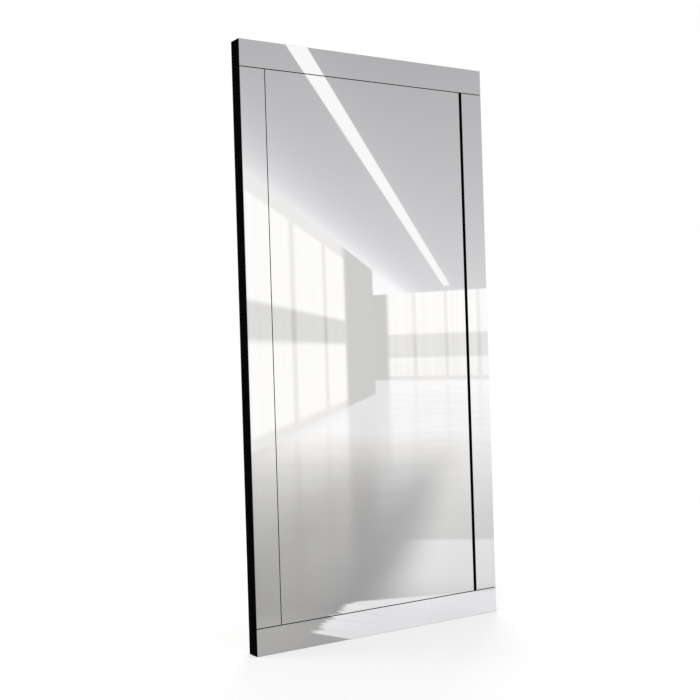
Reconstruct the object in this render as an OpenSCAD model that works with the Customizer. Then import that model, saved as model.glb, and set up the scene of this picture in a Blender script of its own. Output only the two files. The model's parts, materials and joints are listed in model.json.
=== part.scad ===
// Full-length panelled mirror: five flush mirror panels on a black mitred box frame.
// Millimetres. X runs across the face, Y from the face to the back, Z up.
// The origin is the middle of the underside that rests on the floor.

/* [Overall] */
// Width across the face
body_w = 915; // [700:5:1000]
// Height of the face
body_h = 1830; // [1500:10:2000]
// Depth from the mirror face to the back of the frame
body_d = 50; // [48:1:60]

/* [Mirror panels] */
// Thickness of the mirror glass
glass_t = 4; // [3:1:5]
// Height of the top and bottom strips, from the body's edge to the joint
end_strip_w = 81.2; // [60:0.1:110]
// Width of the left and right strips, from the body's edge to the joint
side_strip_w = 83.2; // [60:0.1:110]
// Width of the hairline joints above, below and left of the centre panel
hairline_w = 2.2; // [1:0.1:3]
// Width of the black channel between the centre panel and the right strip
channel_w = 11.5; // [2:0.5:20]
// Chamfer ground on every edge of the glass
arris = 0.4; // [0.2:0.1:0.8]
// How far the glass stands in from the frame's outer edge
glass_inset = 0.5; // [0.5:0.5:2]

/* [Mounting tape] */
// Thickness of the foam tape behind the glass
tape_t = 1; // [0.8:0.1:1.6]
// Width of the foam tape
tape_w = 19; // [12:1:25]
// Runs of tape behind the centre panel
centre_tapes = 5; // [3:1:7]
// How far every run of tape stays from the edges of its glass
tape_in = 8; // [4:1:12]

/* [Frame] */
// Width of a frame member, seen from the back
member_w = 50; // [48:1:60]
// Width of the lip that surrounds the front board
front_lip = 12; // [8:1:16]
// Chamfer on the frame's outer back edge
edge_break = 1; // [0.5:0.5:2]
// Height of a cross rail
cross_rail_h = 60; // [50:5:90]
// Heights of the cross rails' centre lines, as shares of the body's height
cross_rail_shares = [0.28, 0.82]; // [0.2:0.01:0.85]
// Length of a dowel
dowel_len = 40; // [30:2:44]
// Radius of a dowel
dowel_r = 4; // [3:0.5:5]

/* [Boards] */
// Thickness of the black board behind the glass
board_t = 6; // [4:1:9]
// Thickness of the hardboard back panel
panel_t = 3; // [2:0.5:4]
// Width of the seat that the back panel lies on
panel_seat = 12; // [10:1:14]
// How far the back panel lies below the frame's back
panel_reveal = 2; // [1:0.5:3]
// Gap left round the edges of both boards
board_gap = 0.5; // [0.3:0.1:1]

/* [Hangers] */
// Thickness of the hanger strap
strap_t = 1.5; // [1.2:0.1:2]
// Width of the hanger strap
strap_w = 20; // [16:1:22]
// Length of the strap below the ring's bar
strap_len = 58; // [54:1:64]
// Radius of the ring's wire
wire_r = 2; // [1.5:0.25:2.5]
// Length of the ring's straight legs
ring_leg = 4; // [2:1:8]

/* [Corner plates] */
// Length of a corner plate's arm
plate_arm = 96; // [85:1:110]
// Width of a corner plate's arm
plate_w = 20; // [16:1:22]
// Thickness of a corner plate
plate_t = 2; // [1.5:0.5:2.5]

/* [Wall bumpers] */
// Height of a wall bumper
bumper_h = 9; // [9:0.5:12]
// Radius of a wall bumper at its foot
bumper_r = 13; // [11:0.5:15]

/* [Hidden] */
$fn = 64;
slack = 0.05;
past = 1;

face_y = -body_d / 2;
tape_y = face_y + glass_t;
front_y = tape_y + tape_t;
seat_y = front_y + board_t;
back_y = body_d / 2;
panel_y = back_y - panel_reveal - panel_t;

// The rows of glass joints, measured from the origin
low_joint_z = end_strip_w;
high_joint_z = body_h - end_strip_w;
left_joint_x = -body_w / 2 + side_strip_w;
right_joint_x = body_w / 2 - side_strip_w;
centre_left_x = left_joint_x + hairline_w;
centre_right_x = right_joint_x - channel_w;
glass_x = body_w / 2 - glass_inset;

// The middle of the bare back face of a member, where hangers, plates and bumpers are fixed
back_face_w = member_w - panel_seat;
line_in = back_face_w / 2;
line_x = body_w / 2 - line_in;
cross_rail_zs = [for (share = cross_rail_shares) body_h * share];
cross_rail_d = panel_y - seat_y;
inner_w = body_w - 2 * member_w;

// The ring turns about its straight bar, in the strap's folded eye
eye_r = wire_r + slack;
eye_out_r = eye_r + strap_t;
fold_gap = 0.15;
pinch_z = -7;
strap_face = -eye_r + fold_gap + strap_t;
pivot_y = back_y + eye_out_r;
pivot_z = cross_rail_zs[1] + 26;
bend_r = 4;
bar_half = strap_w / 2 + 0.3;
bow_r = bar_half + bend_r;
bow_drop = bend_r + ring_leg + bow_r;
ring_gap = 0.35;
ring_rest = asin((strap_face + wire_r + ring_gap) / bow_drop);
strap_hole_zs = [-18, -45];

// Screws: [head radius, shank radius, length]
board_screw = [4, 2, 25];
panel_screw = [3.6, 1.75, 16];
strap_screw = [4.3, 2.25, 30];
plate_screw = [3.6, 1.75, 16];
bumper_screw = [4, 2, 22];
dome_share = 0.55;
taper_share = 1.6;
point_share = 0.25;
recess_span = 1.1;
recess_slot = 0.24;
screw_turn = 137.5;

board_screw_in = 30;
board_screw_rows = spread(6, 150, body_h - 150);
board_screw_columns = spread(3, -body_w * 0.3, body_w * 0.3);
board_rail_columns = [-body_w * 0.22, body_w * 0.22];
panel_screw_in = member_w - panel_seat / 2;
panel_screw_rows = spread(7, 75, body_h - 75);
panel_screw_columns = spread(3, -body_w * 0.26, body_w * 0.26);
panel_rail_columns = [-body_w * 0.15, body_w * 0.15];
bumper_end = 140;
bumper_floor = 4;
bumper_bore_r = bumper_screw[0] + 1.2;
bumper_taper = 2;
bumper_foot_h = 1.5;
bumper_round = 1.5;
plate_in = line_in - plate_w / 2;
plate_holes = [48, 86];
plate_heel_r = 5;
dowel_rows = [back_y - 13, back_y - 29];
cross_dowel_y = (seat_y + panel_y) / 2;
cross_dowel_dz = 15;
dowel_chamfer = 1;
dowel_end_gap = 0.5;

function spread(count, from, to) = [for (i = [0 : count - 1]) from + (to - from) * i / (count - 1)];

// Points [x, z] of the screws through the front board, round its edge and along the cross rails
board_screw_points = concat(
    [for (x = [-1, 1] * (body_w / 2 - board_screw_in), z = board_screw_rows) [x, z]],
    [for (z = [board_screw_in, body_h - board_screw_in], x = board_screw_columns) [x, z]],
    [for (z = cross_rail_zs, x = board_rail_columns) [x, z]]
);

// Points [x, z] of the screws through the back panel
panel_screw_points = concat(
    [for (x = [-1, 1] * (body_w / 2 - panel_screw_in), z = panel_screw_rows) [x, z]],
    [for (z = [panel_screw_in, body_h - panel_screw_in], x = panel_screw_columns) [x, z]],
    [for (z = cross_rail_zs, x = panel_rail_columns) [x, z]]
);

// Points [x, z] of the four wall bumpers
bumper_points = [for (x = [-line_x, line_x], z = [bumper_end, body_h - bumper_end]) [x, z]];

// Points [x, z] of the hanger screws
hanger_screw_points = [for (x = [-line_x, line_x], z = strap_hole_zs) [x, pivot_z + z]];

// Repeats its children at each corner of the frame, with the corner at the origin and the
// frame's members along +X and +Z
module at_corners() {
    for (side = [0, 1], end = [0, 1])
        translate([side ? body_w / 2 : -body_w / 2, 0, end ? body_h : 0])
            mirror([side, 0, 0])
                mirror([0, 0, end])
                    children();
}

// Repeats its children at points [x, z] on the plane y, with their +Z turned by tilt to face the
// front or the back, each at a turn of its own, as screws are left when they are driven home
module at_points(points, y, tilt) {
    for (i = [0 : len(points) - 1])
        translate([points[i][0], y, points[i][1]])
            rotate([tilt, 0, 0])
                rotate([0, 0, i * screw_turn])
                    children();
}

module at_back(points, y) {
    at_points(points, y, -90) children();
}

module at_front(points, y) {
    at_points(points, y, 90) children();
}

// Half the outline of a screw's shank, from its shoulder to its blunt point
module screw_shank(screw, shoulder) {
    shank_r = screw[1];
    end = -screw[2];
    polygon([
        [0, shoulder], [shank_r, shoulder], [shank_r, end + shank_r * taper_share],
        [shank_r * point_share, end], [0, end]
    ]);
}

// The cross that a screwdriver takes, cut down to depth below z = 0
module cross_recess(head_r, depth) {
    for (a = [0, 90])
        rotate([0, 0, a])
            translate([0, 0, past / 2])
                cube([head_r * recess_span, head_r * recess_slot, depth * 2 + past], center = true);
}

// A countersunk screw with the top of its head at z = 0 and its point below
module countersunk_screw(screw) {
    head_r = screw[0];
    head_h = head_r - screw[1];
    difference() {
        rotate_extrude() {
            polygon([[0, 0], [head_r, 0], [screw[1], -head_h], [0, -head_h]]);
            screw_shank(screw, -head_h);
        }
        cross_recess(head_r, head_h / 2);
    }
}

// A domed screw whose head rests on z = 0
module domed_screw(screw) {
    head_r = screw[0];
    head_h = head_r * dome_share;
    ball_r = (head_r * head_r + head_h * head_h) / (2 * head_h);
    difference() {
        rotate_extrude() {
            intersection() {
                translate([0, head_h - ball_r]) circle(r = ball_r);
                square([head_r, head_h]);
            }
            screw_shank(screw, 0);
        }
        translate([0, 0, head_h]) cross_recess(head_r, head_h * 0.4);
    }
}

module pilot_bore(screw) {
    translate([0, 0, -screw[2] - slack]) cylinder(r = screw[1] + slack, h = screw[2] + past);
}

module countersunk_bore(screw, depth) {
    head_h = screw[0] - screw[1];
    translate([0, 0, -depth - past]) cylinder(r = screw[1] + slack, h = depth + 2 * past);
    translate([0, 0, -head_h - slack])
        cylinder(r1 = screw[1] + slack, r2 = screw[0] + 2 * slack, h = head_h + slack);
    cylinder(r = screw[0] + 2 * slack, h = past);
}

// A glass panel between two corners [x, z], with a chamfer ground on all its front and back edges
module glass_panel(low, high) {
    w = high[0] - low[0];
    h = high[1] - low[1];
    color("gainsboro")
        translate([low[0], face_y, low[1]])
            intersection() {
                linear_extrude(h) chamfered(w, glass_t);
                rotate([90, 0, 90]) linear_extrude(w) rotate(90) mirror([0, 1, 0]) chamfered(h, glass_t);
            }
}

module chamfered(w, d) {
    polygon([
        [arris, 0], [w - arris, 0], [w, arris], [w, d - arris],
        [w - arris, d], [arris, d], [0, d - arris], [0, arris]
    ]);
}

module mirror_centre() {
    glass_panel([centre_left_x, low_joint_z + hairline_w], [centre_right_x, high_joint_z - hairline_w]);
}

module mirror_strip_top() {
    glass_panel([-glass_x, high_joint_z], [glass_x, body_h - glass_inset]);
}

module mirror_strip_bottom() {
    glass_panel([-glass_x, glass_inset], [glass_x, low_joint_z]);
}

module mirror_strip_left() {
    glass_panel([-glass_x, low_joint_z + hairline_w], [left_joint_x, high_joint_z - hairline_w]);
}

module mirror_strip_right() {
    glass_panel([right_joint_x, low_joint_z + hairline_w], [glass_x, high_joint_z - hairline_w]);
}

// Foam tape: two runs behind each strip and five behind the centre panel
module mounting_tape() {
    end_run = body_w - 6 * tape_in;
    side_run = high_joint_z - low_joint_z - 4 * tape_in;
    edge_in = tape_w / 2 + tape_in;
    centre_in = edge_in + tape_in;
    color("white") {
        for (z = [edge_in, end_strip_w - edge_in], end = [0, 1])
            tape_run(0, end ? body_h - z : z, end_run, tape_w);
        for (x = [edge_in, side_strip_w - edge_in], side = [-1, 1])
            tape_run(side * (body_w / 2 - x), body_h / 2, tape_w, side_run);
        for (x = spread(centre_tapes, centre_left_x + centre_in, centre_right_x - centre_in))
            tape_run(x, body_h / 2, tape_w, side_run);
    }
}

module tape_run(x, z, w, h) {
    translate([x - w / 2, tape_y, z - h / 2]) cube([w, tape_t, h]);
}

module front_board() {
    inset = front_lip + board_gap;
    color([0.03, 0.03, 0.03])
        difference() {
            translate([inset - body_w / 2, front_y, inset])
                cube([body_w - 2 * inset, board_t, body_h - 2 * inset]);
            at_front(board_screw_points, front_y) countersunk_bore(board_screw, board_t);
        }
}

module front_board_screws() {
    color("silver") at_front(board_screw_points, front_y + slack) countersunk_screw(board_screw);
}

// The section of a member, [y, distance in from the outer edge], with a rebate for each board
module member_section() {
    polygon([
        [front_y, 0], [front_y, front_lip], [seat_y, front_lip], [seat_y, member_w],
        [panel_y, member_w], [panel_y, back_face_w], [back_y, back_face_w],
        [back_y, edge_break], [back_y - edge_break, 0]
    ]);
}

// A member along +X with its outer edge at z = 0 and both ends mitred
module mitred_member(length) {
    intersection() {
        rotate([90, 0, 90]) linear_extrude(length) member_section();
        rotate([90, 0, 0])
            linear_extrude(2 * body_d, center = true)
                polygon([[0, 0], [length, 0], [length - member_w, member_w], [member_w, member_w]]);
    }
}

// Two dowels square to each mitre, and two in each end of each cross rail
module dowel_places() {
    at_corners()
        for (y = dowel_rows)
            translate([member_w / 2, y, member_w / 2]) rotate([0, 135, 0]) children();
    for (side = [-1, 1], z = cross_rail_zs, dz = [-cross_dowel_dz, cross_dowel_dz])
        translate([side * inner_w / 2, cross_dowel_y, z + dz]) rotate([0, 90, 0]) children();
}

// Every bore that the frame's wooden members take
module frame_bores() {
    dowel_places() cylinder(r = dowel_r + slack, h = dowel_len + 2 * dowel_end_gap, center = true);
    at_front(board_screw_points, front_y + slack) pilot_bore(board_screw);
    at_back(panel_screw_points, panel_y + panel_t) pilot_bore(panel_screw);
    at_back(hanger_screw_points, pivot_y + strap_face) pilot_bore(strap_screw);
    at_back(bumper_points, back_y + bumper_floor) pilot_bore(bumper_screw);
    at_corners() plate_screw_places() pilot_bore(plate_screw);
}

module frame_member() {
    color([0.05, 0.05, 0.05])
        difference() {
            children();
            frame_bores();
        }
}

module stile_left() {
    frame_member() translate([-body_w / 2, 0, body_h]) rotate([0, 90, 0]) mitred_member(body_h);
}

module stile_right() {
    frame_member() translate([body_w / 2, 0, 0]) rotate([0, -90, 0]) mitred_member(body_h);
}

module rail_top() {
    frame_member() translate([body_w / 2, 0, body_h]) rotate([0, 180, 0]) mitred_member(body_w);
}

module rail_bottom() {
    frame_member() translate([-body_w / 2, 0, 0]) mitred_member(body_w);
}

module cross_rail(z) {
    color("burlywood")
        difference() {
            translate([-inner_w / 2, seat_y, z - cross_rail_h / 2])
                cube([inner_w, cross_rail_d, cross_rail_h]);
            frame_bores();
        }
}

module cross_rail_lower() { cross_rail(cross_rail_zs[0]); }

module cross_rail_upper() { cross_rail(cross_rail_zs[1]); }

// A dowel with a chamfer on both ends
module dowel() {
    half = dowel_len / 2;
    end_r = dowel_r - dowel_chamfer;
    rotate_extrude()
        polygon([
            [0, -half], [end_r, -half], [dowel_r, dowel_chamfer - half],
            [dowel_r, half - dowel_chamfer], [end_r, half], [0, half]
        ]);
}

module frame_dowels() {
    color("wheat") dowel_places() dowel();
}

module back_panel() {
    inset = back_face_w + board_gap;
    color("saddlebrown")
        difference() {
            translate([inset - body_w / 2, panel_y, inset])
                cube([body_w - 2 * inset, panel_t, body_h - 2 * inset]);
            at_back(panel_screw_points, panel_y + panel_t) pilot_bore(panel_screw);
        }
}

module back_panel_screws() {
    color("silver") at_back(panel_screw_points, panel_y + panel_t) domed_screw(panel_screw);
}

// Places the holes of one corner plate, in the corner's own frame
module plate_screw_places() {
    for (along = plate_holes) {
        at_back([[along, line_in]], back_y + plate_t) children();
        at_back([[line_in, along]], back_y + plate_t) children();
    }
}

// The outline of a corner plate, with its heel and the ends of its arms rounded
module plate_outline() {
    heel = plate_in + plate_heel_r;
    end = plate_in + plate_arm - plate_w / 2;
    translate([heel, heel]) circle(r = plate_heel_r);
    translate([heel, plate_in]) square([end - heel, plate_w]);
    translate([plate_in, heel]) square([plate_w, end - heel]);
    translate([end, line_in]) circle(r = plate_w / 2);
    translate([line_in, end]) circle(r = plate_w / 2);
}

// A flat steel angle across each mitre, with countersunk holes
module corner_plates() {
    color("silver")
        at_corners()
            difference() {
                translate([0, back_y + plate_t, 0])
                    rotate([90, 0, 0])
                        linear_extrude(plate_t) plate_outline();
                plate_screw_places() countersunk_bore(plate_screw, plate_t);
            }
}

module corner_plate_screws() {
    color("silver") at_corners() plate_screw_places() countersunk_screw(plate_screw);
}

// Side view of the strap, [y, z] from the ring's bar: a strip folded double round the eye
module folded_strip() {
    pinch_angle = 180 + 2 * atan2(-pinch_z, eye_r);
    front = [cos(pinch_angle), sin(pinch_angle)];
    run = (eye_out_r * front[0] - strap_face) / -front[1];
    neck_z = eye_out_r * front[1] - run * front[0];
    difference() {
        union() {
            circle(r = eye_out_r);
            polygon([
                [-eye_out_r, 0], [-eye_out_r, -strap_len], [strap_face, -strap_len],
                [strap_face, neck_z], eye_out_r * front, [0, 0]
            ]);
        }
        circle(r = eye_r);
        polygon([[-eye_r, 0], [-eye_r, pinch_z], [-eye_r + fold_gap, pinch_z], eye_r * front, [0, 0]]);
        translate([-eye_r, -strap_len - past]) square([fold_gap, strap_len + past + pinch_z]);
    }
}

// The strap's outline from the back, round at its lower end
module strap_outline() {
    half = strap_w / 2;
    translate([0, half - strap_len]) circle(r = half);
    translate([-half, half - strap_len]) square([strap_w, strap_len - half + eye_out_r + past]);
}

// A folded steel strap with an eye for the ring and two countersunk holes
module hanger_strap(x) {
    strap_holes = [for (z = strap_hole_zs) [0, z]];
    color("silver")
        translate([x, pivot_y, pivot_z])
            difference() {
                intersection() {
                    rotate([90, 0, 90]) linear_extrude(strap_w, center = true) folded_strip();
                    rotate([90, 0, 0]) linear_extrude(4 * eye_out_r, center = true) strap_outline();
                }
                at_back(strap_holes, strap_face) countersunk_bore(strap_screw, eye_out_r + strap_face);
            }
}

module hanger_strap_left() { hanger_strap(-line_x); }

module hanger_strap_right() { hanger_strap(line_x); }

module ring_arc(radius, from, sweep) {
    rotate([90, 0, 0])
        rotate([0, 0, from])
            rotate_extrude(angle = sweep) translate([radius, 0]) circle(r = wire_r);
}

// A D-shaped ring of round wire that lies on its strap: a straight bar, two legs and a half-round bow
module hanger_ring(x) {
    color("silver")
        translate([x, pivot_y, pivot_z])
            rotate([ring_rest, 0, 0]) {
                rotate([0, 90, 0]) cylinder(r = wire_r, h = 2 * bar_half, center = true);
                translate([bar_half, 0, -bend_r]) ring_arc(bend_r, 0, 90);
                translate([-bar_half, 0, -bend_r]) ring_arc(bend_r, 90, 90);
                for (side = [-1, 1])
                    translate([side * bow_r, 0, -bend_r - ring_leg]) cylinder(r = wire_r, h = ring_leg);
                translate([0, 0, -bend_r - ring_leg]) ring_arc(bow_r, 180, 180);
            }
}

module hanger_ring_left() { hanger_ring(-line_x); }

module hanger_ring_right() { hanger_ring(line_x); }

module hanger_screws() {
    color("silver") at_back(hanger_screw_points, pivot_y + strap_face) countersunk_screw(strap_screw);
}

// A tapered rubber bumper with a recess for its screw's head
module wall_bumpers() {
    hole_r = bumper_screw[1] + slack;
    rim_r = bumper_r - bumper_taper;
    lip = bumper_h - bumper_round;
    color("dimgray")
        at_back(bumper_points, back_y)
            rotate_extrude() {
                polygon([
                    [hole_r, 0], [bumper_r, 0], [bumper_r, bumper_foot_h], [rim_r, lip],
                    [bumper_bore_r, lip], [bumper_bore_r, bumper_floor], [hole_r, bumper_floor]
                ]);
                translate([bumper_bore_r, lip]) square([rim_r - bumper_round - bumper_bore_r, bumper_round]);
                translate([rim_r - bumper_round, lip])
                    intersection() {
                        circle(r = bumper_round);
                        square(bumper_round);
                    }
            }
}

module wall_bumper_screws() {
    color("silver") at_back(bumper_points, back_y + bumper_floor) domed_screw(bumper_screw);
}

mirror_centre();
mirror_strip_top();
mirror_strip_bottom();
mirror_strip_left();
mirror_strip_right();
mounting_tape();
front_board();
front_board_screws();
stile_left();
stile_right();
rail_top();
rail_bottom();
cross_rail_lower();
cross_rail_upper();
frame_dowels();
back_panel();
back_panel_screws();
corner_plates();
corner_plate_screws();
hanger_strap_left();
hanger_strap_right();
hanger_ring_left();
hanger_ring_right();
hanger_screws();
wall_bumpers();
wall_bumper_screws();
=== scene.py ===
"""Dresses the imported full-length mirror and sets it in a plain white studio.

All sizes are in metres, in the model's own frame: X runs across the face, Y from
the mirror face to the wall, Z up, and the origin is under the middle of the frame.
"""

from __future__ import annotations

import enum
import json
import logging
import math
from dataclasses import dataclass
from typing import Any, Callable, Sequence, Union

import bmesh
import bpy
import numpy as np
from mathutils import Matrix, Vector

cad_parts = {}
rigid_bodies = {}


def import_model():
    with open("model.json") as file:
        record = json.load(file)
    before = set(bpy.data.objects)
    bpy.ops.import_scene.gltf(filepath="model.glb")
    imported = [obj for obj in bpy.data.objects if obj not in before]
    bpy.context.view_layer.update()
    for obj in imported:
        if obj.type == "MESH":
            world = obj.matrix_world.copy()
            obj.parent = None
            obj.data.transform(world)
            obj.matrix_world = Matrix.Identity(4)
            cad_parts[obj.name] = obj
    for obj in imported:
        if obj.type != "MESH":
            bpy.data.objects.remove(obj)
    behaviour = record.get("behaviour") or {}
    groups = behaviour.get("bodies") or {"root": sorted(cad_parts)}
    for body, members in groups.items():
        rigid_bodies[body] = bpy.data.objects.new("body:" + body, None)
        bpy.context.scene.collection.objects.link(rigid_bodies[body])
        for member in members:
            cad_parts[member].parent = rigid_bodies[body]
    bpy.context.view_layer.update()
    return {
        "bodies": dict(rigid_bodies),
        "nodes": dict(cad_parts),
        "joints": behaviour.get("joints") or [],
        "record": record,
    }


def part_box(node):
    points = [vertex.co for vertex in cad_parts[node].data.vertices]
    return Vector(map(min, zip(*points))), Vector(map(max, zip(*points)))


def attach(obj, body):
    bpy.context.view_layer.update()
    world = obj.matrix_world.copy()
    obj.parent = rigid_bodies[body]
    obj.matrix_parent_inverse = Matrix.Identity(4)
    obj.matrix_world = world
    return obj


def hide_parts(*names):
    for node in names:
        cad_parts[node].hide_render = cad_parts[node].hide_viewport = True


LOG = logging.getLogger("mirror")

Colour = tuple[float, float, float]
Point = tuple[float, float, float]
Spot = tuple[float, float]
Line = tuple[float, float, float]


class Slot(enum.Enum):
    """The record's material slots, by name."""

    BLACK_LACQUER = "black_lacquer"
    HARDBOARD = "hardboard"
    ZINC_STEEL = "zinc_steel"
    BLACK_RUBBER = "black_rubber"


class Body(enum.Enum):
    """The model's rigid bodies."""

    MIRROR = "mirror_body"
    RING_LEFT = "ring_left"
    RING_RIGHT = "ring_right"


# Shader graphs


@dataclass(frozen=True)
class Value:
    """A shader socket that takes part in arithmetic, where each operation adds a Math node."""

    graph: "Graph"
    socket: bpy.types.NodeSocket

    def math(self, operation: str, *others: "Number") -> "Value":
        """The result of a Math node, which takes this and then the others."""
        operands = dict(enumerate((self, *others)))
        return self.graph.node("ShaderNodeMath", {"operation": operation}, operands)

    def __add__(self, other: "Number") -> "Value":
        """This plus other."""
        return self.math("ADD", other)

    __radd__ = __add__

    def __mul__(self, other: "Number") -> "Value":
        """This times other."""
        return self.math("MULTIPLY", other)

    __rmul__ = __mul__

    def __sub__(self, other: "Number") -> "Value":
        """This minus other."""
        return self.math("SUBTRACT", other)

    def __rsub__(self, other: "Number") -> "Value":
        """Other minus this."""
        return self * -1.0 + other

    def __truediv__(self, other: "Number") -> "Value":
        """This over other."""
        return self.math("DIVIDE", other)

    def __abs__(self) -> "Value":
        """The size of this."""
        return self.math("ABSOLUTE")

    def least(self, other: "Number") -> "Value":
        """The smaller of this and other."""
        return self.math("MINIMUM", other)

    def most(self, other: "Number") -> "Value":
        """The larger of this and other."""
        return self.math("MAXIMUM", other)

    def rise(self, low: float, high: float) -> "Value":
        """A smooth step from 0 at low to 1 at high, or down from 1 where low is above high.

        Args:
            low: the value at which the result is 0.
            high: the value at which the result is 1.

        Returns:
            The step, between 0 and 1.
        """
        ends = {"From Min": min(low, high), "From Max": max(low, high)}
        turned = low > high
        ends.update({"To Min": float(turned), "To Max": float(not turned)})
        return self.graph.node(
            "ShaderNodeMapRange", {"interpolation_type": "SMOOTHSTEP"}, {"Value": self, **ends}
        )


Number = Union[Value, float]
Input = Union[Value, float, Sequence[float]]


class Graph:
    """Builds one node tree."""

    def __init__(self, tree: bpy.types.NodeTree) -> None:
        """Starts an empty tree."""
        self.tree = tree
        self.tree.nodes.clear()

    def node(
        self,
        kind: str,
        settings: dict[str, Any] | None = None,
        sockets: dict[Union[str, int], Input] | None = None,
        output: Union[str, int] = 0,
    ) -> Value:
        """Adds any node.

        Args:
            kind: the node's type.
            settings: the node's own settings, and a ramp's stops as [(place, colour), ...].
            sockets: the value or link of each input socket, by name or number.
            output: the output socket that is wanted.

        Returns:
            That output.
        """
        made = self.tree.nodes.new(kind)
        for name, setting in (settings or {}).items():
            if name == "stops":
                self._set_stops(made.color_ramp, setting)
            else:
                setattr(made, name, setting)
        for name, given in (sockets or {}).items():
            if isinstance(given, Value):
                self.tree.links.new(given.socket, made.inputs[name])
            else:
                made.inputs[name].default_value = given
        return Value(self, made.outputs[output] if len(made.outputs) else made.inputs[0])

    @staticmethod
    def _set_stops(ramp: bpy.types.ColorRamp, stops: Sequence[tuple[float, Colour]]) -> None:
        """Gives a ramp its stops."""
        while len(ramp.elements) < len(stops):
            ramp.elements.new(1.0)
        for element, (place, colour) in zip(ramp.elements, stops):
            element.position = place
            element.color = (*colour, 1.0)

    def other(self, value: Value, output: Union[str, int]) -> Value:
        """Another output of the node that value comes from."""
        return Value(self, value.socket.node.outputs[output])

    def place(self) -> Value:
        """The point on the object, in metres."""
        return self.node("ShaderNodeTexCoord", output="Object")

    def facing(self) -> tuple[Value, Value, Value]:
        """The surface's normal in the object's frame, as X, Y and Z."""
        return self.split(self.node("ShaderNodeTexCoord", output="Normal"))

    def split(self, vector: Value) -> tuple[Value, Value, Value]:
        """The X, Y and Z of a vector."""
        x = self.node("ShaderNodeSeparateXYZ", {}, {0: vector})
        return x, self.other(x, 1), self.other(x, 2)

    def mix(self, share: Number, first: Input, second: Input) -> Value:
        """A colour that goes from first to second as share goes from 0 to 1."""
        sockets = {0: share, 6: self.rgba(first), 7: self.rgba(second)}
        return self.node("ShaderNodeMix", {"data_type": "RGBA"}, sockets, output=2)

    def ramp(self, share: Value, stops: Sequence[tuple[float, Colour]]) -> Value:
        """The colour that a ramp has at share."""
        return self.node("ShaderNodeValToRGB", {"stops": stops}, {0: share})

    @staticmethod
    def rgba(colour: Input) -> Input:
        """A colour with its fourth number."""
        return colour if isinstance(colour, Value) or len(colour) == 4 else (*colour, 1.0)

    def bump(self, height: Value, metres: float, below: Value | None = None) -> Value:
        """A normal for a relief.

        Args:
            height: the relief, from 0 to 1.
            metres: the real height that 1 stands for.
            below: the normal of a coarser relief that this one lies on.

        Returns:
            The normal.
        """
        sockets: dict[Union[str, int], Input] = {"Height": height, "Distance": metres, "Strength": 1.0}
        if below is not None:
            sockets["Normal"] = below
        return self.node("ShaderNodeBump", {}, sockets)

    def surface(self, **sockets: Input) -> None:
        """Ends the tree in a Principled BSDF, whose sockets are given with _ for spaces."""
        named = {name.replace("_", " "): given for name, given in sockets.items()}
        if not isinstance(named["Base Color"], Value):
            named["Base Color"] = self.rgba(named["Base Color"])
        shader = self.node("ShaderNodeBsdfPrincipled", {}, named)
        self.node("ShaderNodeOutputMaterial", {}, {"Surface": shader})


@dataclass(frozen=True)
class Grain:
    """Noise with so many features to the metre.

    It has finer layers, as many as detail says and as strong as rough says. Its features are
    squeezed along the axes, after those are turned by degrees, and curl as bend says. It lies
    between 0 and 1 and mostly near a half, unless a span of it is spread from 0 to 1.
    """

    scale: float
    detail: float = 2.0
    rough: float = 0.5
    span: Spot | None = None
    squeeze: Point = (1.0, 1.0, 1.0)
    turn: Point = (0.0, 0.0, 0.0)
    bend: float = 0.0

    def on(self, place: Value) -> Value:
        """The noise at a place."""
        angles = tuple(math.radians(a) for a in self.turn)
        turned = {"Vector": place, "Rotation": angles, "Scale": tuple(1 / s for s in self.squeeze)}
        vector = place.graph.node("ShaderNodeMapping", {"vector_type": "TEXTURE"}, turned)
        sockets = {"Vector": vector, "Scale": self.scale, "Detail": self.detail}
        sockets = {**sockets, "Roughness": self.rough, "Distortion": self.bend}
        made = place.graph.node("ShaderNodeTexNoise", {}, sockets)
        return made.rise(*self.span) if self.span else made


class Finish:
    """A finish that paints a material the first time it is used."""

    name = "finish"

    def material(self) -> bpy.types.Material:
        """The finish's material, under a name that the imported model's materials don't have."""
        title = f"{self.name}_finish"
        made = bpy.data.materials.get(title)
        if made is None:
            made = bpy.data.materials.new(title)
            made.use_nodes = True
            self.paint(Graph(made.node_tree))
        return made

    def paint(self, graph: Graph) -> None:
        """Fills the material's node tree."""
        raise NotImplementedError

    def dress(self, piece: bpy.types.Object) -> None:
        """Puts the material in every slot of a piece."""
        if not piece.material_slots:
            piece.data.materials.append(None)
        for slot in piece.material_slots:
            slot.material = self.material()


# Finishes


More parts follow.
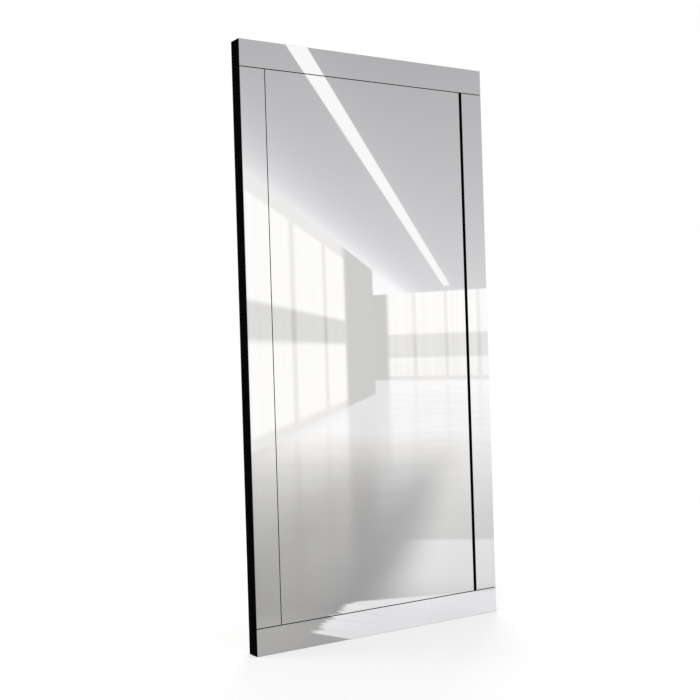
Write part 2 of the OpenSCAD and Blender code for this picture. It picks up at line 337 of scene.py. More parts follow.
@dataclass(frozen=True)
class SilveredGlass(Finish):
    """Float glass silvered on its back, with a ground arris and sealed, blackened edges."""

    name: str = "silvered_glass"
    silver: Colour = (0.895, 0.9, 0.897)
    arris: Colour = (0.05, 0.056, 0.054)
    seal: Colour = (0.001, 0.001, 0.001)
    face_y: float = -0.025
    arris_depth: float = 0.0004
    polish: float = 0.012
    haze: float = 0.05
    wiped: Grain = Grain(2.6, 4.0, 0.62, (0.52, 0.78), (1.0, 1.0, 3.2), (0, 34, 0))
    dust: Grain = Grain(420.0, 2.0, 0.7, (0.66, 0.74))
    wave: Grain = Grain(3.0, 1.0, squeeze=(0.5, 1.0, 1.6))
    wave_height: float = 0.000012

    def paint(self, graph: Graph) -> None:
        """Silver on the face, grey on the arris and sealing paint on the rest, by depth."""
        place = graph.place()
        depth = (graph.split(place)[1] - self.face_y) / self.arris_depth
        sealed = depth.rise(1.05, 1.3)
        ground = depth.rise(0.05, 0.3) * (1 - sealed)
        smear = self.wiped.on(place) * 0.6 + self.dust.on(place) * 0.4
        face = graph.mix(smear * 0.35, self.silver, tuple(c * 0.985 for c in self.silver))
        colour = graph.mix(sealed, graph.mix(ground, face, self.arris), self.seal)
        graph.surface(
            Base_Color=colour,
            Metallic=1 - sealed - ground * 0.55,
            Roughness=smear * self.haze + self.polish + ground * 0.3 + sealed * 0.6,
            Coat_Weight=1 - sealed - ground * 0.8,
            Coat_Roughness=0.01,
            Coat_IOR=1.52,
            Specular_IOR_Level=0.04,
            Normal=graph.bump(self.wave.on(place), self.wave_height),
        )


@dataclass(frozen=True)
class BlackLacquer(Finish):
    """Satin black lacquer sprayed on a mitred fibreboard frame, rubbed at its outer back edge."""

    name: str = "black_lacquer"
    lacquer: Colour = (0.0018, 0.0018, 0.0019)
    primer: Colour = (0.05, 0.048, 0.045)
    dust: Colour = (0.016, 0.0155, 0.015)
    gloss: float = 0.19
    half_width: float = 0.4575
    height: float = 1.83
    back_y: float = 0.025
    seam: Colour = (0.001, 0.001, 0.001)
    seam_half: Spot = (0.0009, 0.00025)
    seam_depth: float = 0.00018
    rub_width: Spot = (0.0022, 0.0006)
    rub_reach: Spot = (0.0018, 0.0004)
    chafing: Grain = Grain(34.0, 5.0, 0.68, (0.56, 0.68))
    film: Grain = Grain(9.0, 5.0, 0.65, (0.3, 0.8))
    peel: Grain = Grain(46.0, 1.0)
    peel_height: float = 0.00005
    fine_peel: Grain = Grain(520.0)
    fine_height: float = 0.000006

    def paint(self, graph: Graph) -> None:
        """Peel of two sizes, a hairline on each mitre, rubbed edges, and a little dust on top."""
        place = graph.place()
        x, y, z = graph.split(place)
        from_side = self.half_width - abs(x)
        from_end = z.least(self.height - z)
        from_back = self.back_y - y
        mitre = abs(from_side - from_end).rise(*self.seam_half) * from_back.rise(0.002, 0.0008)
        outer = from_side.least(from_end).rise(*self.rub_width) * from_back.rise(*self.rub_reach)
        rubbed = outer * self.chafing.on(place)
        upward = graph.facing()[2].rise(0.5, 0.9)
        film = self.film.on(place)
        dusty = upward * film * 0.7 + film * 0.02
        base = graph.mix(dusty, self.lacquer, self.dust)
        base = graph.mix(rubbed * 0.7, base, self.primer)
        peel = graph.bump(self.peel.on(place), self.peel_height)
        fine = graph.bump(self.fine_peel.on(place), self.fine_height, peel)
        graph.surface(
            Base_Color=graph.mix(mitre * 0.8, base, self.seam),
            Roughness=film * 0.12 + rubbed * 0.3 + self.gloss,
            Specular_IOR_Level=0.2,
            Normal=graph.bump(1 - mitre, self.seam_depth, fine),
        )


@dataclass(frozen=True)
class BlackBoard(Finish):
    """Matt black primed fibreboard, seen at the bottom of the joints between the glass."""

    name: str = "black_board"
    light: Colour = (0.0009, 0.0009, 0.0009)
    dark: Colour = (0.0004, 0.0004, 0.0004)
    fibre: Grain = Grain(380.0, 4.0, 0.7, None, (1.0, 1.0, 0.3), (0, 20, 0))
    relief: float = 0.00002

    def paint(self, graph: Graph) -> None:
        """Short fibres under thin primer."""
        fibre = self.fibre.on(graph.place())
        graph.surface(
            Base_Color=graph.mix(fibre, self.dark, self.light),
            Roughness=fibre * 0.1 + 0.86,
            Specular_IOR_Level=0.02,
            Normal=graph.bump(fibre, self.relief),
        )


@dataclass(frozen=True)
class Softwood(Finish):
    """Planed softwood with its growth rings running along the piece."""

    name: str = "softwood"
    early: Colour = (0.62, 0.44, 0.27)
    late: Colour = (0.42, 0.25, 0.12)
    ring: float = 0.0055
    slow: Grain = Grain(9.0, squeeze=(0.35, 1.0, 1.0))
    fibre: Grain = Grain(900.0, 3.0, 0.7, squeeze=(0.05, 1.0, 1.0))
    relief: float = 0.00006

    def paint(self, graph: Graph) -> None:
        """Rings about an axis along X, bent by slow noise, with fine fibres between them."""
        place = graph.place()
        y, z = graph.split(place)[1:]
        across = (z + y * 0.7 + self.slow.on(place) * 0.035) / self.ring
        phase = across.math("FRACT")
        ringed = phase.rise(0.35, 0.92) * phase.rise(1.0, 0.94)
        fibre = self.fibre.on(place)
        tone = ringed * 0.75 + fibre * 0.25
        graph.surface(
            Base_Color=graph.mix(tone, self.early, self.late),
            Roughness=fibre * 0.15 + 0.52,
            Normal=graph.bump(tone, self.relief),
        )


@dataclass(frozen=True)
class Hardboard(Finish):
    """Smooth brown hardboard: pressed fibres, cloudy tone, faint scuffs from handling."""

    name: str = "hardboard"
    light: Colour = (0.27, 0.145, 0.066)
    mid: Colour = (0.17, 0.083, 0.035)
    dark: Colour = (0.085, 0.038, 0.016)
    pale: Colour = (0.36, 0.25, 0.16)
    cloud: Grain = Grain(2.6, span=(0.28, 0.72))
    blotch: Grain = Grain(42.0, 4.0, 0.6, (0.3, 0.7))
    band: Grain = Grain(22.0, 3.0, 0.6, (0.3, 0.7), (0.02, 1.0, 1.0))
    flakes: Grain = Grain(620.0, 3.0, 0.65, None, (1.0, 1.0, 0.4), (0, 38, 0), 1.6)
    crossed: Grain = Grain(480.0, 3.0, 0.65, None, (0.4, 1.0, 1.0), (0, 15, 0), 1.6)
    specks: Grain = Grain(420.0, 1.0, 0.5, (0.7, 0.76), (1.0, 1.0, 0.45), (0, 20, 0))
    scuffs: Grain = Grain(2.2, 6.0, 0.75, (0.6, 0.7), (0.7, 1.0, 16.0), (0, 61, 0))
    relief: float = 0.00003

    def paint(self, graph: Graph) -> None:
        """Clouds, faint bands from the press, flakes that lie every way, specks and pale scuffs."""
        place = graph.place()
        blotch = self.blotch.on(place)
        fibre = (self.flakes.on(place) + self.crossed.on(place)).rise(0.68, 1.32)
        tone = self.cloud.on(place) * 0.18 + blotch * 0.22 + self.band.on(place) * 0.08 + fibre * 0.52
        base = graph.ramp(tone, [(0.0, self.dark), (0.5, self.mid), (1.0, self.light)])
        base = graph.mix(self.specks.on(place) * 0.5, base, tuple(c * 0.7 for c in self.dark))
        scuffed = self.scuffs.on(place) * blotch.rise(0.4, 0.9)
        graph.surface(
            Base_Color=graph.mix(scuffed * 0.35, base, self.pale),
            Roughness=fibre * 0.16 + 0.5 + scuffed * 0.12,
            Specular_IOR_Level=0.25,
            Normal=graph.bump(fibre, self.relief),
        )


@dataclass(frozen=True)
class ZincPlate(Finish):
    """Bright zinc plate with a faint blue and yellow passivation and handling scratches."""

    name: str = "zinc_plate"
    blue: Colour = (0.6, 0.63, 0.66)
    warm: Colour = (0.67, 0.65, 0.59)
    stain: Colour = (0.36, 0.36, 0.35)
    slow: Grain = Grain(38.0, 3.0, 0.6, (0.38, 0.62))
    drawn: Grain = Grain(1600.0, 3.0, 0.6, None, (1.0, 1.0, 0.06), (0, 12, 0))
    dull: Grain = Grain(150.0, 5.0, 0.7, (0.58, 0.72))
    relief: float = 0.000012

    def paint(self, graph: Graph) -> None:
        """Slow colour change, drawn lines along the part and small dull stains."""
        place = graph.place()
        drawn, dull = self.drawn.on(place), self.dull.on(place)
        base = graph.mix(self.slow.on(place), self.blue, self.warm)
        graph.surface(
            Base_Color=graph.mix(dull * 0.4, base, self.stain),
            Metallic=1.0,
            Roughness=drawn * 0.14 + dull * 0.12 + 0.2,
            Normal=graph.bump(drawn, self.relief),
        )


@dataclass(frozen=True)
class BlackRubber(Finish):
    """Matt moulded rubber with bloom and dust on it."""

    name: str = "black_rubber"
    rubber: Colour = (0.016, 0.016, 0.0165)
    bloom: Colour = (0.07, 0.068, 0.065)
    patches: Grain = Grain(130.0, 4.0, 0.65, (0.45, 0.75))
    moulding: Grain = Grain(2400.0)
    relief: float = 0.00002

    def paint(self, graph: Graph) -> None:
        """Fine moulding grain under patchy bloom."""
        place = graph.place()
        patches = self.patches.on(place)
        graph.surface(
            Base_Color=graph.mix(patches * 0.4, self.rubber, self.bloom),
            Roughness=patches * 0.12 + 0.68,
            Normal=graph.bump(self.moulding.on(place), self.relief),
        )


@dataclass(frozen=True)
class FoamTape(Finish):
    """White double-sided foam tape with open cells on its cut edges."""

    name: str = "foam_tape"
    foam: Colour = (0.82, 0.82, 0.8)
    cell: Colour = (0.6, 0.6, 0.57)
    cells_per_m: float = 3200.0
    relief: float = 0.00003

    def paint(self, graph: Graph) -> None:
        """Round cells of about a third of a millimetre."""
        sockets = {"Vector": graph.place(), "Scale": self.cells_per_m}
        cells = graph.node("ShaderNodeTexVoronoi", {}, sockets)
        graph.surface(
            Base_Color=graph.mix(cells, self.foam, self.cell),
            Roughness=cells * 0.1 + 0.82,
            Normal=graph.bump(1 - cells, self.relief),
        )


# Surfaces


def patch(name: str, points: np.ndarray, closed: bool = False) -> bpy.types.Object:
    """Makes a mesh of quads through one grid of points, or through several alike.

    Args:
        name: the object's name.
        points: grids by rows by columns by 3, or one grid. Faces point along (next row) x
            (next column).
        closed: whether rows and columns run round and meet, as on a ring, which is shaded smooth.

    Returns:
        The object, linked to the scene.
    """
    rows, columns = points.shape[-3:-1]
    first = np.arange(points.size // (rows * columns * 3))[:, None, None] * rows * columns
    row = np.arange(rows if closed else rows - 1)[:, None]
    column = np.arange(columns if closed else columns - 1)
    here, below, right = row * columns, (row + 1) % rows * columns, (column + 1) % columns
    corners = (here + column, below + column, below + right, here + right)
    faces = np.stack([first + corner for corner in corners], axis=-1).reshape(-1, 4)
    mesh = bpy.data.meshes.new(name)
    mesh.from_pydata(points.reshape(-1, 3).tolist(), [], faces.tolist())
    mesh.update()
    if closed:
        mesh.shade_smooth()
    made = bpy.data.objects.new(name, mesh)
    bpy.context.scene.collection.objects.link(made)
    return made


def rounded(corners: Sequence[tuple[float, float, float]], steps: int = 6) -> np.ndarray:
    """A closed outline with its corners rounded.

    At a corner where the outline turns by t, an arc of radius r touches both sides r tan(t/2) from
    the corner. Its points are the corner, moved by r / cos(t/2) along the halving line to the
    arc's centre, and by r back out along directions that turn evenly through t.

    Args:
        corners: each corner's two coordinates and its radius, in a round.
        steps: the spans of each arc.

    Returns:
        The points, N by 2, with steps + 1 of them for each corner.
    """
    given = np.array(corners)
    at, radius = given[:, :2], given[:, 2:]
    along = np.roll(at, -1, axis=0) - at
    after = along / np.linalg.norm(along, axis=1, keepdims=True)
    before = np.roll(after, 1, axis=0)
    heading = np.arctan2(before[:, 1], before[:, 0])
    turn = np.arctan2(before[:, 0] * after[:, 1] - before[:, 1] * after[:, 0], (before * after).sum(axis=1))
    side = np.sign(turn)[:, None]
    start = at - before * radius * np.tan(abs(turn) / 2)[:, None]
    centre = start + side * radius * np.stack([-before[:, 1], before[:, 0]], axis=1)
    angle = heading[:, None] + turn[:, None] * np.linspace(0.0, 1.0, steps + 1)
    outward = np.stack([np.sin(angle), -np.cos(angle)], axis=-1) * side[:, None]
    return (centre[:, None] + outward * radius[:, None]).reshape(-1, 2)


def eased(node: bpy.types.Object, width: float, crease_deg: float = 30.0) -> bpy.types.Object:
    """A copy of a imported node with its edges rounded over, as paint or plating leaves them.

    The copy's triangles are merged, and its flat stretches dissolved. Each edge that turns by more
    than the crease then goes to a Bevel modifier, where it is longer than two widths, and no
    edge shorter than that meets it at an end.

    Args:
        node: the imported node, which is left as it is.
        width: how wide the rounding is.
        crease_deg: the least turn of an edge that is rounded or stays sharp.

    Returns:
        The copy, named after the node, with smooth faces between its edges.
    """
    mesh = node.data.copy()
    mesh.name = f"eased_{node.name}"
    for layer in [a for a in mesh.attributes if a.name == "custom_normal"]:
        mesh.attributes.remove(layer)
    crease = math.radians(crease_deg)
    work = bmesh.new()
    work.from_mesh(mesh)
    bmesh.ops.remove_doubles(work, verts=work.verts, dist=1e-6)
    bmesh.ops.dissolve_limit(work, angle_limit=math.radians(0.3), verts=work.verts, edges=work.edges)
    weight = work.edges.layers.float.new("bevel_weight_edge")
    cramped = {corner for edge in work.edges if edge.calc_length() < 2 * width for corner in edge.verts}
    for edge in work.edges:
        edge[weight] = float(edge.calc_face_angle(0.0) > crease and cramped.isdisjoint(edge.verts))
    work.to_mesh(mesh)
    work.free()
    mesh.shade_smooth()
    mesh.set_sharp_from_angle(angle=crease)
    made = bpy.data.objects.new(f"eased_{node.name}", mesh)
    bpy.context.scene.collection.objects.link(made)
    bevel = made.modifiers.new("eased_edges", "BEVEL")
    bevel.limit_method, bevel.width, bevel.segments = "WEIGHT", width, 2
    bevel.harden_normals = bevel.use_clamp_overlap = False
    return made


# The object


@dataclass
class SubAssembly:
    """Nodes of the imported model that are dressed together."""

    frame: dict[str, Any]

    def dress(self, finish: Finish, *names: str) -> None:
        """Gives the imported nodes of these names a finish."""
        for name in names:
            finish.dress(self.frame["nodes"][name])
            LOG.info("dressed %s in %s", name, finish.name)

    def stand_in(self, piece: bpy.types.Object, node: str, finish: Finish, slot: Slot, body: Body) -> None:
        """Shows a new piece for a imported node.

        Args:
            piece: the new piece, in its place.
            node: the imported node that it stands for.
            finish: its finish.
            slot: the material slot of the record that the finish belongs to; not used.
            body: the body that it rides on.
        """
        finish.dress(piece)
        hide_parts(node)
        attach(piece, body.value)
        LOG.info("made %s for %s in %s", piece.name, node, finish.name)

    def ease(self, finish: Finish, slot: Slot, width: float, *names: str) -> None:
        """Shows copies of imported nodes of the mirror's body with their edges eased.

        Args:
            finish: the finish.
            slot: the material slot of the record that the finish belongs to.
            width: how wide the rounding of an edge is.
            names: the nodes' names.
        """
        for name in names:
            self.stand_in(eased(self.frame["nodes"][name], width), name, finish, slot, Body.MIRROR)


@dataclass
class MirrorFace(SubAssembly):
    """Five flush glass panels on foam tape, over a black board that shows in their joints."""

    def build(self) -> None:
        """Dresses the panels, the tape and the board."""
        sides = ("top", "bottom", "left", "right")
        self.dress(SilveredGlass(), "mirror_centre", *(f"mirror_strip_{side}" for side in sides))
        self.dress(FoamTape(), "mounting_tape")
        self.dress(BlackBoard(), "front_board")
        self.dress(ZincPlate(), "front_board_screws")


@dataclass
class BoxFrame(SubAssembly):
    """The mitred frame, its cross rails and dowels, and the steel plates across its mitres."""

    lacquer_edge: float = 0.0004
    plate_edge: float = 0.0003

    def build(self) -> None:
        """Eases the edges of the frame and its plates, and dresses the rest."""
        members = ("stile_left", "stile_right", "rail_top", "rail_bottom")
        self.ease(BlackLacquer(), Slot.BLACK_LACQUER, self.lacquer_edge, *members)
        self.ease(ZincPlate(), Slot.ZINC_STEEL, self.plate_edge, "corner_plates")
        self.dress(Softwood(), "cross_rail_lower", "cross_rail_upper", "frame_dowels")
        self.dress(ZincPlate(), "corner_plate_screws")


@dataclass
class Back(SubAssembly):
    """The hardboard panel with its screws."""

    panel_edge: float = 0.0005

    def build(self) -> None:
        """Eases the panel's edges and dresses its screws."""
        self.ease(Hardboard(), Slot.HARDBOARD, self.panel_edge, "back_panel")
        self.dress(ZincPlate(), "back_panel_screws")


@dataclass
class Bumpers(SubAssembly):
    """Four moulded rubber bumpers, each with a recess for its screw."""

    hole_r: float = 0.00205
    foot_r: float = 0.013
    foot_h: float = 0.0015
    rim_r: float = 0.011
    rim_round: float = 0.0015
    bore_r: float = 0.0052
    bore_floor: float = 0.004
    columns: int = 72

    def build(self) -> None:
        """Turns the section round each bumper's axis, which runs along Y.

        A point of the section at radius r and height h lands at (r cos a, h, r sin a) from the
        middle of the bumper's foot, for a full turn of a.
        """
        low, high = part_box("wall_bumpers")
        height = high.y - low.y
        profile = rounded(
            [
                (self.hole_r, 0.0, 0.0001),
                (self.foot_r, 0.0, 0.0004),
                (self.foot_r, self.foot_h, 0.0005),
                (self.rim_r, height - self.rim_round, 0.001),
                (self.rim_r, height, self.rim_round * 0.8),
                (self.bore_r, height, 0.0007),
                (self.bore_r, self.bore_floor, 0.0004),
                (self.hole_r, self.bore_floor, 0.0002),
            ]
        )
        angle = np.linspace(0.0, 2 * math.pi, self.columns, endpoint=False)
        r, h = profile[:, :1], profile[:, 1:]
        one = np.stack(np.broadcast_arrays(r * np.cos(angle), low.y + h, r * np.sin(angle)), axis=-1)
        xs, zs = ((low[i] + self.foot_r, high[i] - self.foot_r) for i in (0, 2))
        places = np.array([[x, 0.0, z] for x in xs for z in zs])
        piece = patch("moulded_bumpers", one + places[:, None, None], closed=True)
        self.stand_in(piece, "wall_bumpers", BlackRubber(), Slot.BLACK_RUBBER, Body.MIRROR)
        self.dress(ZincPlate(), "wall_bumper_screws")


@dataclass
class Hangers(SubAssembly):
    """Two folded straps and the D-rings of round wire that swing in their eyes."""

    wire_r: float = 0.002
    bend_r: float = 0.004
    leg: float = 0.004
    rest_deg: float = 5.017
    strap_edge: float = 0.00025
    bend_rows: int = 13
    bow_rows: int = 61
    wire_columns: int = 28

    def build(self) -> None:
        """Makes the rings and eases the straps."""
        for joint in self.frame["joints"]:
            side = joint["child"].removeprefix("ring_")
            self.ring(side, Body(joint["child"]), np.array(joint["pos_m"]))
        self.ease(ZincPlate(), Slot.ZINC_STEEL, self.strap_edge, "hanger_strap_left", "hanger_strap_right")
        self.dress(ZincPlate(), "hanger_screws")

    def ring(self, side: str, body: Body, pivot: np.ndarray) -> None:
        """Sweeps the wire round a D.

        The heading a falls from 90 degrees through 0 to -270, and the wire's middle is at
        centre + radius (cos a, sin a) in the ring's plane: a bend down to 0, the bow down to
        -180 and the other bend, with the legs and the bar as the straights between them. The
        wire's round section stands on (cos a, sin a) and on the plane's normal, and the ring is
        turned about its bar by its angle at rest.

        Args:
            side: left or right.
            body: the ring's body.
            pivot: the middle of the straight bar.
        """
        low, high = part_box(f"hanger_ring_{side}")
        bow_r = (high.x - low.x) / 2 - self.wire_r
        bar_half = bow_r - self.bend_r
        arcs = [
            (bar_half, -self.bend_r, self.bend_r, 90.0, 0.0, self.bend_rows),
            (0.0, -self.bend_r - self.leg, bow_r, 0.0, -180.0, self.bow_rows),
            (-bar_half, -self.bend_r, self.bend_r, -180.0, -270.0, self.bend_rows),
        ]
        heading = np.radians(np.concatenate([np.linspace(a, b, n) for *_, a, b, n in arcs]))
        x0, z0, radius = (np.concatenate([np.full(arc[-1], arc[i]) for arc in arcs]) for i in range(3))
        out = np.stack([np.cos(heading), np.zeros_like(heading), np.sin(heading)], axis=-1)
        middle = np.stack([x0, np.zeros_like(x0), z0], axis=-1) + out * radius[:, None]
        around = np.linspace(0.0, 2 * math.pi, self.wire_columns, endpoint=False)[:, None]
        section = out[:, None] * np.cos(around) + np.array([0.0, 1.0, 0.0]) * np.sin(around)
        points = middle[:, None] + section * self.wire_r
        turn = math.radians(self.rest_deg)
        cosine, sine = math.cos(turn), math.sin(turn)
        tilt = np.array([[1.0, 0.0, 0.0], [0.0, cosine, sine], [0.0, -sine, cosine]])
        piece = patch(f"wire_ring_{side}", points @ tilt + pivot, closed=True)
        self.stand_in(piece, f"hanger_ring_{side}", ZincPlate(), Slot.ZINC_STEEL, body)


# The studio


def staged(name: str, points: np.ndarray, shade: Callable[[Graph], Value]) -> bpy.types.Object:
    """Makes a piece of the studio, which isn't part of the object.

    Args:
        name: the piece's name.
        points: its grid of corners, as patch takes it.
        shade: gives its material's shader.

    Returns:
        The piece.
    """
    made = patch(name, points)
    paint = bpy.data.materials.new(name)
    paint.use_nodes = True
    graph = Graph(paint.node_tree)
    graph.node("ShaderNodeOutputMaterial", {}, {"Surface": shade(graph)})
    paint.cycles.emission_sampling = "NONE"
    made.data.materials.append(paint)
    LOG.info("made %s of the studio", name)
    return made


def only_reflected(piece: bpy.types.Object) -> None:
    """Hides a piece of the studio from all but reflections."""
    piece.visible_camera = piece.visible_diffuse = piece.visible_shadow = False
    piece.visible_transmission = piece.visible_volume_scatter = False


@dataclass
class Plan:
    """The plan of the room that reflections see.

    Its long axis, u, is turned from -Y towards +X, v is u turned a quarter to its left, and
    both are measured from the model's origin. A spot is a place (u, v) on the plan, and a line
    (a, b, c) is where a u + b v + c is 0.
    """

    heading_deg: float = 40.45

    def axes(self) -> tuple[np.ndarray, np.ndarray]:
        """The unit vectors of u and v in the model's frame."""
        angle = math.radians(self.heading_deg)
        u = np.array([math.sin(angle), -math.cos(angle), 0.0])
        return u, np.array([-u[1], u[0], 0.0])

    def uv(self, graph: Graph) -> tuple[Value, Value, Value]:
        """The room's u, v and height at the shaded point."""
        x, y, z = graph.split(graph.place())
        u, v = self.axes()
        return x * float(u[0]) + y * float(u[1]), x * float(v[0]) + y * float(v[1]), z

    @staticmethod
    def past(u: Value, v: Value, line: Line) -> Value:
        """The value a u + b v + c of a line, which is positive on one side of it."""
        return u * line[0] + v * line[1] + line[2]


@dataclass
class StudioRoom(Plan):
    """A plain room that only reflections see: pale walls with daylight panes and a strip light."""

    height: float = 2.6
    near_u: float = -9.0
    left_wall: tuple[Spot, Spot] = ((-9.0, -1.47), (20.2, -2.31))
    far_wall: tuple[Spot, Spot] = ((30.9, -3.62), (26.6, 6.0))
    strip_near: tuple[Spot, Spot] = ((-3.0, -0.657), (-3.0, -0.568))
    strip_far: tuple[Spot, Spot] = ((27.1, -1.17), (26.6, -0.98))
    strip_drop: float = 0.01
    left_panes: Spot = (4.9, 14.7)
    left_head: float = 2.41
    left_transom: Spot = (1.02, 1.4)
    left_pitch: float = 2.9
    far_pier_v: float = -3.09
    far_transom: Spot = (0.67, 1.37)
    far_pitch: float = 0.96
    far_mullion_v: float = -1.27
    pane_foot: float = 0.12
    near_panes: Spot = (0.3, 4.35)
    near_pitch: float = 1.35
    wall_tint: Colour = (1.0, 0.985, 0.975)
    ceiling_tint: Colour = (0.984, 0.974, 1.004)
    overhead_tone: float = 0.485
    strip_tone: float = 1.04
    left_tone_near: float = 0.56
    left_tone_rise: float = 0.38
    left_tone_fall: float = 0.25
    left_pane_tone: float = 1.09
    near_pane_gain: float = 0.13
    left_transom_dark: float = 0.28
    near_transom_dark: float = 0.16
    far_pane_tone: float = 0.96
    far_pane_gain: float = 0.13
    far_transom_dark: float = 0.2
    pier_tone: float = 0.68
    right_tone: float = 0.62
    behind_tone: float = 0.5

    def left_v(self, u: Number) -> Number:
        """The left wall's v at u."""
        (u0, v0), (u1, v1) = self.left_wall
        slope = (v1 - v0) / (u1 - u0)
        return u * slope + (v0 - slope * u0)

    def card(
        self, name: str, corners: Sequence[Point], tone: Callable[[Graph], Number], tint: Colour = (1, 1, 1)
    ) -> None:
        """Makes one flat luminous card of the room.

        Args:
            name: the card's name.
            corners: its four corners in a round, as u, v and height.
            tone: gives the card's brightness over its surface.
            tint: the colour of its light.
        """

        def glow(graph: Graph) -> Value:
            """Light of the card's tint, as strong as its tone."""
            sockets = {0: tint, "Scale": tone(graph)}
            colour = graph.node("ShaderNodeVectorMath", {"operation": "SCALE"}, sockets)
            return graph.node("ShaderNodeEmission", {}, {"Color": colour})

        axes = np.array([*self.axes(), [0.0, 0.0, 1.0]])
        first, second, third, fourth = np.array(corners, float) @ axes
        only_reflected(staged(name, np.array([[first, fourth], [second, third]]), glow))

    def wall(self, name: str, ends: tuple[Spot, Spot], tone: Callable[[Graph], Number]) -> None:
        """Makes a wall card between two spots, from the floor to the ceiling."""
        start, end = ends
        corners = [(*start, 0.0), (*end, 0.0), (*end, self.height), (*start, self.height)]
        self.card(name, corners, tone, self.wall_tint)

    def ceiling_tone(self, graph: Graph) -> Value:
        """Grey overhead with painted light: it brightens with distance, beside the panes and round the
        strip.
        """
        u, v, _ = self.uv(graph)
        far = (u.most(1.5) / 3.1).math("LOGARITHM", math.e) * 0.12 + self.overhead_tone
        # painted light on the ceiling beside the left wall's panes
        beside = ((v - self.left_v(u)).most(0.0) * -2.6).math("EXPONENT") * 0.34
        (u0, v0), (_, v1) = self.strip_near
        (u2, v2), (_, v3) = self.strip_far
        slope = (v2 + v3 - v0 - v1) / 2 / (u2 - u0)
        off = abs(v - (u - u0) * slope - (v0 + v1) / 2)
        # painted glow on the ceiling round the strip light
        return far + beside + (off * -5.0).math("EXPONENT") * 0.04

    def ripples(self, along: Value, waves: float) -> Value:
        """Soft upright ripples in a pane's light, with so many waves to the metre."""
        turn = 2 * math.pi * waves
        slow = (along * turn).math("SINE") * 0.012
        return slow + (along * (turn * 2.6) + slow * 60.0).math("SINE") * 0.012

    def panes(self, along: Value, z: Value, pitch: float, mullion: float) -> Value:
        """1 on a pane and 0 on the mullions, which stand where along is a multiple of pitch.

        Args:
            along: the place along the wall.
            z: the height.
            pitch: the distance between mullions.
            mullion: a mullion's width with its soft edges.

        Returns:
            The panes' mask.
        """
        from_middle = abs((along / pitch).math("FRACT") - 0.5) * pitch
        glazed = from_middle.rise(pitch / 2 - mullion * 0.2, pitch / 2 - mullion)
        return glazed * z.rise(self.pane_foot - 0.04, self.pane_foot + 0.04)

    @staticmethod
    def band(z: Value, ends: Spot) -> Value:
        """1 between two heights and 0 beyond them, with soft edges."""
        low, high = ends
        return z.rise(low - 0.05, low + 0.05) * z.rise(high + 0.04, high - 0.04)

    def left_tone(self, graph: Graph) -> Value:
        """Panes under a pale header, a grey transom, and plain wall on to the corner."""
        u, _, z = self.uv(graph)
        start, end = self.left_panes
        within = u.rise(start + 0.4, start + 1.2) * u.rise(end + 0.25, end - 0.25)
        under = z.rise(self.left_head + 0.03, self.left_head - 0.03)
        mask = self.panes(u + 40.0, z, self.left_pitch, 0.3) * within * under
        # painted light on the plain wall: brighter towards the panes and darker past their end
        wall = u.rise(-4.0, 7.0) * self.left_tone_rise + self.left_tone_near
        wall = wall - u.rise(end - 0.6, end + 0.6) * self.left_tone_fall
        lit = wall + mask * (self.left_pane_tone - wall + self.ripples(u, 0.8) * 0.5)
        first, last = self.near_panes
        beside = u.rise(first, first + 0.06) * u.rise(last, last - 0.06)
        near = self.panes(u - first + 40 * self.near_pitch, z, self.near_pitch, 0.1) * beside * under
        lit = lit + near * (self.ripples(u, 2.1) + self.near_pane_gain)
        dark = within * self.left_transom_dark + beside * self.near_transom_dark
        return lit - self.band(z, self.left_transom) * dark

    def far_tone(self, graph: Graph) -> Value:
        """A plain pier at the left, then narrower panes over a broad transom."""
        _, v, z = self.uv(graph)
        beyond = v.rise(self.far_pier_v - 0.06, self.far_pier_v + 0.12)
        mask = self.panes(v - self.far_mullion_v + 40 * self.far_pitch, z, self.far_pitch, 0.09)
        lit = mask * (self.far_pane_gain + self.ripples(v, 2.2)) + self.far_pane_tone
        lit = lit - self.band(z, self.far_transom) * self.far_transom_dark - z.rise(0.9, 0.4) * 0.05
        return lit * beyond + (1 - beyond) * self.pier_tone

    def build(self) -> None:
        """Makes the room's cards."""
        (_, left), (far, right) = self.far_wall
        near, top, deep = self.near_u, self.height, self.far_wall[0][0]
        ceiling = [(near, left, top), (deep, left, top), (deep, right, top), (near, right, top)]
        self.card("room_ceiling", ceiling, self.ceiling_tone, self.ceiling_tint)
        self.wall("room_left", self.left_wall, self.left_tone)
        self.wall("room_return", (self.left_wall[1], self.far_wall[0]), lambda _: self.pier_tone)
        self.wall("room_far", self.far_wall, self.far_tone)
        self.wall("room_right", ((near, right), (far, right)), lambda _: self.right_tone)
        self.wall("room_near", ((near, left), (near, right)), lambda _: self.behind_tone)
        under = top - self.strip_drop
        strip = [(*spot, under) for spot in (*self.strip_near, *reversed(self.strip_far))]
        self.card("room_strip", strip, lambda _: self.strip_tone)


